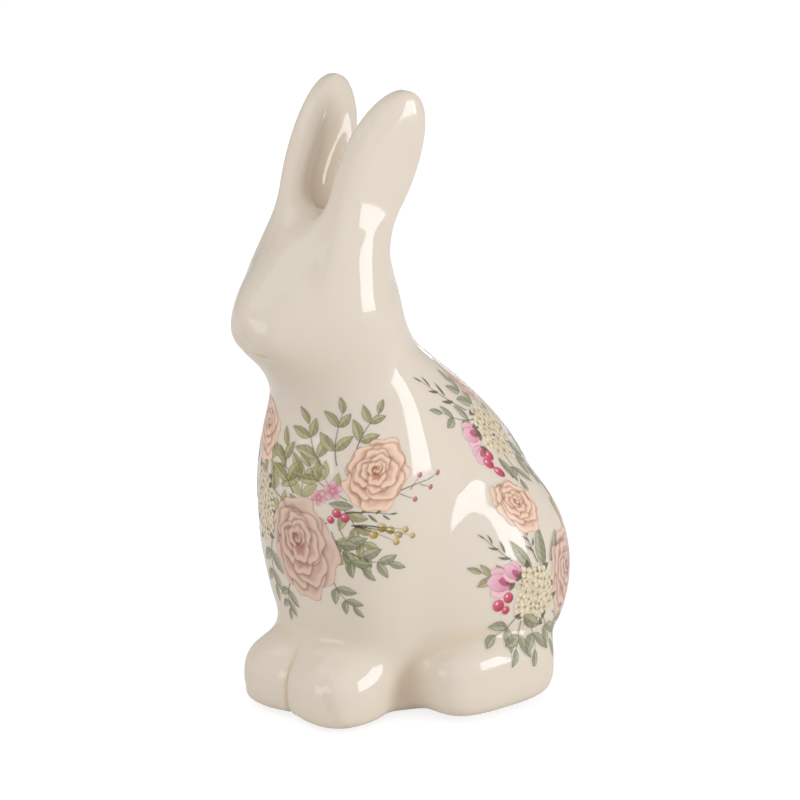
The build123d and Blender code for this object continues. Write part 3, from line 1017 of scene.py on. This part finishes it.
def chest_spray(sheet):
    """The large spray that wraps the chest: leaves first, then the flowers that lie on them."""
    sprigs(sheet, pale_olive, (
        ((12, 106), 84, 20, 2, 10.5), ((34, 112), 134, 20, 2, 10.0), ((2, 98), 118, 22, 2, 10.5),
        ((24, 100), 152, 16, 1, 9.5), ((30, 98), -82, 16, 2, 9.5), ((-8, 120), 112, 20, 2, 10.0),
    ))
    sprigs(sheet, olive, (
        ((22, 126), 116, 22, 2, 11.5), ((16, 120), 160, 22, 2, 12.0), ((28, 128), 88, 24, 2, 10.5),
        ((36, 134), 62, 20, 2, 9.5), ((6, 112), 104, 22, 2, 12.0), ((-2, 108), 140, 24, 2, 11.0),
        ((-30, 100), 150, 22, 2, 11.0), ((26, 116), 138, 15, 1, 10.5), ((30, 110), -65, 26, 3, 9.5),
    ))
    sprigs(sheet, sage, (
        ((28, 92), -24, 26, 3, 11.0), ((24, 72), -58, 15, 2, 9.0), ((-4, 64), -104, 14, 2, 9.0),
        ((-14, 84), -98, 24, 2, 12.0), ((-34, 84), -130, 22, 2, 10.5), ((26, 96), -52, 22, 2, 10.0),
    ), bow=-0.1)
    twig(sheet, (44, 110), 16, 32, bark, mauve[0], 1.25)
    twig(sheet, (34, 106), -2, 20, bark, sage[0])
    for right, up, radius in gold_berries:
        stem(sheet, (36, 100), (right, up), 0.45, olive[2], 1.0)
        berry(sheet, (right, up), radius, *gold)
    cluster(sheet, (-20, 100), (11, 17), 30, cream_head, seed=3)
    rose(sheet, (-21, 138), 14, *peach, tall=1.15, lean=(0.1, 0.2), seed=5)
    rose(sheet, (47, 124), 16.5, *peach, tall=1.04, lean=(-0.05, 0.24), seed=2)
    blossom(sheet, (27, 116), 5.0, 5, *mauve, gold[1], 20)
    blossom(sheet, (20, 112), 4.0, 5, *mauve, gold[1], 50)
    leaf(sheet, (37, 109), 12, 4.6, 176, *sage)
    berries(sheet, berry_red, ((29, 105.5, 2.3), (33, 103.5, 2.2), (26, 102, 1.9)))
    rose(sheet, (8, 84), 19.5, *dusty_pink, tall=1.36, lean=(-0.14, 0.34), seed=8)
    tulip(sheet, (-34, 118), 12, 150, mauve, olive[0])
    tulip(sheet, (-36, 112), 11, 178, mauve, olive[0])


chest_sheet = sprayed(chest_spray, left=-58, right=84, low=44, high=168)

# %% The shoulders
def shoulder_spray(sheet):
    """The spray across the shoulders: dark twigs, tulips and berries round a cream head."""
    twig(sheet, (-1, 143), 128, 24, bark, ground_green)
    sprigs(sheet, sage, (
        ((2, 138), 158, 22, 2, 9.5), ((6, 118), -112, 12, 1, 9.0), ((14, 118), -74, 14, 2, 10.0),
    ))
    sprigs(sheet, olive, (((28, 122), -44, 20, 2, 10.0), ((30, 146), 40, 24, 2, 11.0)))
    sprigs(sheet, sage, (((10, 140), 104, 16, 2, 10.0),))
    twig(sheet, (34, 134), 10, 24, bark, ground_green)
    rose(sheet, (22, 155), 14, *dusty_pink, tall=1.0, lean=(0.1, 0.2), seed=12)
    tulip(sheet, (-2, 131), 13, 170, mauve, olive[0])
    tulip(sheet, (-4, 124), 12, 206, mauve, olive[0])
    cluster(sheet, (10, 129), (12, 13), 28, cream_head, seed=7)
    berries(sheet, berry_red, ((-9, 117.5, 2.8), (-5, 120.5, 2.5), (-7, 112.5, 2.6)))
    rose(sheet, (38, 138), 13, *peach, tall=1.0, lean=(0.1, 0.2), seed=14)
    leaf(sheet, (18, 120), 13, 6.0, -38, *sage)
    leaf(sheet, (0, 118), 12, 5.0, -96, *shaded_green)


shoulder_sheet = sprayed(shoulder_spray, left=-30, right=64, low=98, high=172)

# %% The haunches
low_sprigs = (((-12, 46), -146), ((-9, 43), -118), ((-3, 42), -94), ((5, 43), -72), ((14, 42), -56))


def haunch_spray(sheet):
    """The spray over the haunch: a peach rose above, a pink one behind, a cream head between."""
    twig(sheet, (-8, 70), 130, 20, bark, ground_green)
    twig(sheet, (3, 70), 96, 16, bark, ground_green)
    sprigs(sheet, olive, (((-12, 64), 160, 18, 2, 9.5),))
    sprigs(sheet, sage, [(start, heading, 14, 1, 11.5) for start, heading in low_sprigs])
    sprigs(sheet, olive, (((36, 76), 60, 22, 2, 11.0), ((42, 50), -20, 22, 2, 11.0)))
    leaf(sheet, (6, 66), 21, 7, 76, *shaded_green)
    leaf(sheet, (-2, 66), 18, 6, 112, *sage)
    leaf(sheet, (12, 68), 17, 6, 50, *shaded_green)
    rose(sheet, (27, 58), 17, *dusty_pink, tall=1.32, lean=(0.1, 0.28), seed=21)
    rose(sheet, (6, 97), 13, *peach, tall=0.95, lean=(0.05, 0.26), seed=17)
    tulip(sheet, (-13, 63), 15, 172, mauve, olive[0])
    tulip(sheet, (-9, 64), 11, 136, mauve, olive[0])
    cluster(sheet, (-1, 54), (12, 14), 30, cream_head, seed=9)
    berries(sheet, berry_red, ((-23, 53, 3.1), (-17.5, 56, 2.8), (-19, 50, 2.2)))
    leaf(sheet, (-8, 45), 14, 6.5, -30, *shaded_green)
    rose(sheet, (46, 84), 12, *peach, tall=1.0, lean=(0.0, 0.24), seed=23)


haunch_sheet = sprayed(haunch_spray, left=-36, right=66, low=20, high=118)

# %% [markdown]
# ## Laying the transfers on
# A wet transfer bends over the glaze but hardly stretches. Projecting the print
# from one side would smear it where the body turns away. So a point of the print
# goes to the height it has on the paper, and round the body by the arc length
# that it has from the transfer's middle line. What carries no paint is left off,
# and the rest lies a tenth of a millimetre proud.

# %% How far round the body each point of a print goes
coarse_rows, coarse_turns, widest_turn = 6, 241, 2.3


def level_middle(height):
    """The point between chest and back that a level ring is measured round."""
    return np.stack([0 * height, between(height), height], -1)


def bent(across, heights, middle_turn):
    """The turn of each print point: arc length round its level ring, read backwards."""
    turns = middle_turn + np.linspace(-widest_turn, widest_turn, coarse_turns)
    rows = np.append(np.arange(0, len(heights) - 1, coarse_rows), len(heights) - 1)
    side, back, up = np.eye(3)[:, None] * np.ones((len(rows), 1))
    level = np.zeros(len(rows))
    rings = wrapped(grounded, level_middle(heights[rows]), -back, side, up, level, turns, far)
    arcs = np.linalg.norm(np.diff(rings, axis=1), axis=-1).cumsum(1)
    arcs = np.concatenate([0 * arcs[:, :1], arcs], 1)
    arcs -= arcs[:, coarse_turns // 2, None]
    coarse = np.stack([np.interp(across, arc, turns) for arc in arcs])
    place = np.interp(np.arange(len(heights)), rows, np.arange(len(rows)))
    first = np.minimum(place.astype(int), len(rows) - 2)
    share = (place - first)[:, None]
    return coarse[first] * (1 - share) + coarse[first + 1] * share


# %% The fired print: the same glaze, duller, with the paint laid over its cream
printed_glaze, nodes, links, shader, cream = glazed("printed_glaze", coat_weight=0.45, coat_roughness=0.14)
paint_layer = nodes.new("ShaderNodeAttribute")
paint_layer.attribute_name = "print"
shown_paint = mixed_paints(nodes, links, paint_layer.outputs["Alpha"], cream, paint_layer.outputs["Color"])
links.new(shown_paint, shader.inputs["Base Color"])
print("nodes in the printed glaze:", len(nodes))

# %% A piece from a sheet
print_lift, upper_print_lift, least_cover = 0.09, 0.16, 0.004


def halved(sheet):
    """The sheet at half its fineness: its places across and up, its cover, and its colour."""
    rows, steps = len(sheet.up) // 2, len(sheet.across) // 2
    part, blocks = (slice(0, rows * 2), slice(0, steps * 2)), (rows, 2, steps, 2)
    cover = sheet.cover[part].reshape(blocks).mean((1, 3))
    colour = sheet.colour[part].reshape(blocks + (3,)).mean((1, 3)) / np.maximum(cover, tiny)[..., None]
    across = sheet.across[part[1]].reshape(-1, 2).mean(1)
    return across, sheet.up[part[0]].reshape(-1, 2).mean(1), cover, colour


def printed(name, sheet, middle_degrees, lift):
    """A piece for the painted part of a sheet: its grid points met on the skin, and lifted."""
    across, heights, cover, colour = halved(sheet)
    painted = cover > least_cover
    faces_kept = painted[1:, 1:] | painted[:-1, 1:] | painted[1:, :-1] | painted[:-1, :-1]
    number = np.arange(cover.size).reshape(cover.shape)
    corners = np.stack([number[:-1, :-1], number[:-1, 1:], number[1:, 1:], number[1:, :-1]], -1)
    corners = corners[faces_kept]
    used = np.unique(corners)
    row, column = np.unravel_index(used, cover.shape)
    turns = bent(across, heights, np.radians(middle_degrees))[row, column]
    headings = np.stack([np.sin(turns), -np.cos(turns), 0 * turns], -1)
    points = met(grounded, level_middle(heights)[row], headings, far)
    normals = outward(grounded, points)
    piece = new_piece(name, points + lift * normals, np.searchsorted(used, corners).tolist())
    layer = piece.data.color_attributes.new("print", "FLOAT_COLOR", "POINT")
    layer.data.foreach_set("color", np.concatenate([colour, cover[..., None]], -1)[row, column].ravel())
    # the print's cream margins get the same painted shade in hollows
    keep_pools_and_painted_shade(piece, pooled_and_painted_shade(grounded, points, normals))
    piece.data.materials.append(printed_glaze)
    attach(piece, "root")


# %% The five transfers, each turned from the chest in degrees
chest_turn, shoulder_turn, haunch_turn = 0, 125, 108
printed("transfer_chest", chest_sheet, chest_turn, print_lift)
for place, sheet, turn, lift in (
    ("shoulder", shoulder_sheet, shoulder_turn, print_lift),
    ("haunch", haunch_sheet, haunch_turn, upper_print_lift),
):
    printed(f"transfer_{place}_left", sheet, turn, lift)
    printed(f"transfer_{place}_right", sheet, -turn, lift)

# %% [markdown]
# ## Felt pads
# Round pads of pressed wool keep the figurine from scratching a shelf. Their shape
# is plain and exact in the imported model, so its nodes stay and only get a finish.
# Hair would need millions of strands at this size. A fine, pulled noise is enough:
# it mixes a dark and a light wool and raises the surface, and a little sheen gives
# the pale bloom of loose fibres.

# %% Felt
felt_dark, felt_light = (0.30, 0.25, 0.20, 1), (0.48, 0.42, 0.35, 1)
wool = {"Scale": 2600.0, "Detail": 4.0, "Distortion": 1.5}
fibre_strength, fibre_height = 0.7, 0.0002
felt, nodes, links, shader = new_material("pressed_felt")
set_sockets(shader, {"Roughness": 0.95, "Sheen Weight": 0.3})
fibres = noise(nodes, links, nodes.new("ShaderNodeTexCoord").outputs["Object"], wool)
links.new(mixed_paints(nodes, links, fibres, felt_dark, felt_light), shader.inputs["Base Color"])
links.new(bumped(nodes, links, fibres, fibre_strength, fibre_height), shader.inputs["Normal"])
pads = [node for name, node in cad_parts.items() if name.startswith("pad_")]
for pad in pads:
    for material_slot in pad.material_slots:
        material_slot.material = felt
print("felt on", len(pads), "pads")

# %% [markdown]
# ## The studio
# Such a piece is shown on white paper in a room with windows. The white behind it
# could come from more light, but that would bleach the glaze. So the paper and
# the world are white only for the rays that come from the camera or pass through
# glass, and partly for mirrored ones, while the light on the object stays level.
# The paper still shows the object's shadow.

# %% Which rays see the plain white background
mirrored_share = 0.3


def two_values(nodes, links, operation, one, other):
    """A Math node on two outputs, or on an output and a number."""
    node = nodes.new("ShaderNodeMath")
    node.operation = operation
    links.new(one, node.inputs[0])
    if isinstance(other, float):
        node.inputs[1].default_value = other
    else:
        links.new(other, node.inputs[1])
    return node.outputs[0]


def background_share(nodes, links):
    """One for camera rays and for those that pass through glass, and a share for mirrored ones."""
    rays = nodes.new("ShaderNodeLightPath").outputs
    mirrored = two_values(nodes, links, "MULTIPLY", rays["Is Glossy Ray"], mirrored_share)
    straight = two_values(nodes, links, "MAXIMUM", rays["Is Camera Ray"], rays["Is Transmission Ray"])
    return two_values(nodes, links, "MAXIMUM", straight, mirrored)


# %% The paper floor: its own shaded colour, or a dimmed one with a white glow
floor_half_size = 3.0
paper_colour = (0.82, 0.80, 0.78, 1)
shown_white, shown_paper_share = 0.82, 0.4
floor_mesh = bpy.data.meshes.new("studio_floor")
corners = np.array([[-1, -1, 0], [1, -1, 0], [1, 1, 0], [-1, 1, 0]]) * floor_half_size
floor_mesh.from_pydata(corners.tolist(), [], [[0, 1, 2, 3]])
floor = bpy.data.objects.new("studio_floor", floor_mesh)
bpy.context.collection.objects.link(floor)
floor_paper, nodes, links, shader = new_material("white_paper")
set_sockets(shader, {"Base Color": paper_colour, "Roughness": 1.0, "Specular IOR Level": 0.0})


def glowing(nodes, strength):
    """An emission shader's output."""
    node = nodes.new("ShaderNodeEmission")
    node.inputs["Strength"].default_value = strength
    return node.outputs[0]


def mixed_shaders(nodes, links, one, other):
    """A mix of two shaders, as a node whose first socket takes the share of the second."""
    node = nodes.new("ShaderNodeMixShader")
    links.new(one, node.inputs[1])
    links.new(other, node.inputs[2])
    return node


dimmed = mixed_shaders(nodes, links, glowing(nodes, 0), shader.outputs[0])
dimmed.inputs[0].default_value = shown_paper_share
shown = nodes.new("ShaderNodeAddShader")
links.new(dimmed.outputs[0], shown.inputs[0])
links.new(glowing(nodes, shown_white), shown.inputs[1])
chosen = mixed_shaders(nodes, links, shader.outputs[0], shown.outputs[0])
links.new(background_share(nodes, links), chosen.inputs[0])
links.new(chosen.outputs[0], nodes["Material Output"].inputs["Surface"])
floor_mesh.materials.append(floor_paper)
print("floor of", 2 * floor_half_size, "metres, with", len(nodes), "nodes in its paper")

# %% [markdown]
# ## The room
# A real room is brighter on its window side, which is what gives a glazed form its
# soft turn from light to shade. An image of a room would put that room's furniture
# into the glaze. A world whose strength rises evenly from a dim side to a bright
# one gives the turn and nothing else.

# %% World
bright_side, room_dim, room_bright = (0.78, -0.52, 0.35), 0.18, 0.84
world = bpy.data.worlds.new("studio_room")
bpy.context.scene.world = world
world.use_nodes = True
nodes, links = world.node_tree.nodes, world.node_tree.links
nodes["Background"].inputs["Color"].default_value = (1, 1, 1, 1)
facing = nodes.new("ShaderNodeVectorMath")
facing.operation = "DOT_PRODUCT"
facing.inputs[1].default_value = bright_side
links.new(nodes.new("ShaderNodeTexCoord").outputs["Generated"], facing.inputs[0])
room = nodes.new("ShaderNodeMapRange")
set_sockets(room, {"From Min": -1, "To Min": room_dim, "To Max": room_bright})
links.new(facing.outputs["Value"], room.inputs["Value"])
strength = nodes.new("ShaderNodeMix")
strength.inputs["B"].default_value = 1
links.new(room.outputs["Result"], strength.inputs["A"])
links.new(background_share(nodes, links), strength.inputs["Factor"])
links.new(strength.outputs["Result"], nodes["Background"].inputs["Strength"])
print("the room's strength runs from", room_dim, "to", room_bright)

# %% [markdown]
# ## Windows and camera
# Gloss is only seen through what it mirrors. A point lamp would give a dot, so
# each window is a wide area lamp, and its place decides where its bright patch
# lies: the right one draws the long patches on neck, shoulder and haunch. Lamps
# and camera are placed alike, by an azimuth from the nose, a rise and a distance.

# %% Placing what looks at the rabbit
def toward(azimuth, rise, distance):
    """A place seen from the rabbit at an azimuth from the nose, a rise and a distance."""
    (back, right), (level, up) = cosine_and_sine(azimuth), cosine_and_sine(rise)
    return distance * np.array([right * level, -back * level, up])


def level_axes(back):
    """The level axis and the upper axis beside a direction."""
    right = np.cross((0, 0, 1), back)
    right /= np.linalg.norm(right)
    return right, np.cross(back, right)


def placed(name, data, place, back):
    """A lamp or camera at a place in the frame's millimetres, with its back along a direction."""
    turn = np.eye(4)
    turn[:3, :3] = np.stack([*level_axes(back), back], 1)
    turn[:3, 3] = place * mm
    thing = bpy.data.objects.new(name, data)
    thing.matrix_world = Matrix(turn.tolist())
    bpy.context.collection.objects.link(thing)
    print(name, "at", place.round().tolist(), "mm")
    return thing


# %% Windows: azimuth, rise and distance, then size in mm and power in watts
window_colour, window_aim = (0.94, 1.0, 1.08), np.array([0, 0, 130])
windows = {
    "window_right": ((119, 9, 1500), (540, 800), 10.0),
    "window_front": ((-5, 9, 1600), (950, 450), 3.0),
    "window_above": ((-30, 58, 1700), (1300, 1100), 3.8),
    "window_left": ((-140, 9, 1500), (400, 800), 2.0),
}
for name, (direction, size, power) in windows.items():
    lamp = bpy.data.lights.new(name, "AREA")
    lamp.shape = "RECTANGLE"
    lamp.size, lamp.size_y = (length * mm for length in size)
    lamp.energy, lamp.color = power, window_colour
    away = toward(*direction) - window_aim
    placed(name, lamp, toward(*direction), away / np.linalg.norm(away))

# %% Camera: set back along its view, and framed by two places in the picture
camera_azimuth, camera_rise, camera_distance = 48.0, 16.0, 2300.0
pixels_per_mm, picture_size, film_width = 2.117, 800, 36.0
aim_height, aim_column, base_row = 150.0, 401.06, 688.25
back = toward(camera_azimuth, camera_rise, 1)
right, up = level_axes(back)
aim_row = base_row - pixels_per_mm * aim_height * cosine_and_sine(camera_rise)[0]
aside, below_aim = (picture_size / 2 - np.array([aim_column, aim_row])) / pixels_per_mm
middle = np.array([0, 0, aim_height]) + form_place + aside * right - below_aim * up
lens = bpy.data.cameras.new("camera")
lens.sensor_width = film_width
lens.lens = film_width * pixels_per_mm * camera_distance / picture_size
bpy.context.scene.camera = placed("camera", lens, middle + back * camera_distance, back)
bpy.context.scene.view_settings.view_transform = "Standard"
